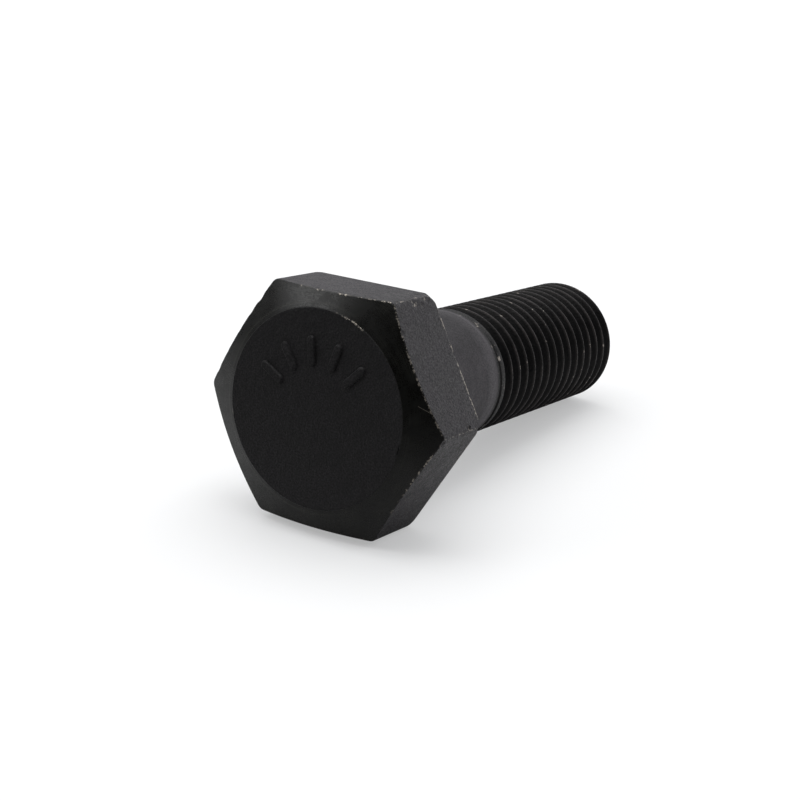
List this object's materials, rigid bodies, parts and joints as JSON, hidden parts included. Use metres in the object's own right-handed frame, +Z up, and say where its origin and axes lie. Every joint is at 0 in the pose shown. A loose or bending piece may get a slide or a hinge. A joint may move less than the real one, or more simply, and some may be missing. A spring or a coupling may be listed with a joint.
{
  "type": "hex bolt",
  "caption": "Heavy hex structural bolt with a washer-faced head, a plain shank and a coarse right-hand thread, for clamping steel joints with a nut or into a tapped hole.",
  "frame": {"origin": "centre of the bearing face under the head, on the bolt's axis", "axes": "+Y along the bolt's axis from the head to the threaded tip, +Z up, square to two of the head's flats, +X through a corner of the head"},
  "size_m": [0.0462, 0.0907, 0.04],
  "materials": {
    "forged_black": "matt black oxide on a forged and trimmed surface, worn to bare metal along the edges",
    "turned_black": "satin black oxide on a smooth drawn bar",
    "thread_black": "oiled black oxide on a rolled thread, brighter on the crests"
  },
  "bodies": {
    "root": {"hex_head": "forged_black", "head_marks": "forged_black", "washer_face": "turned_black", "shank": "turned_black", "thread": "thread_black"}
  },
  "joints": []
}
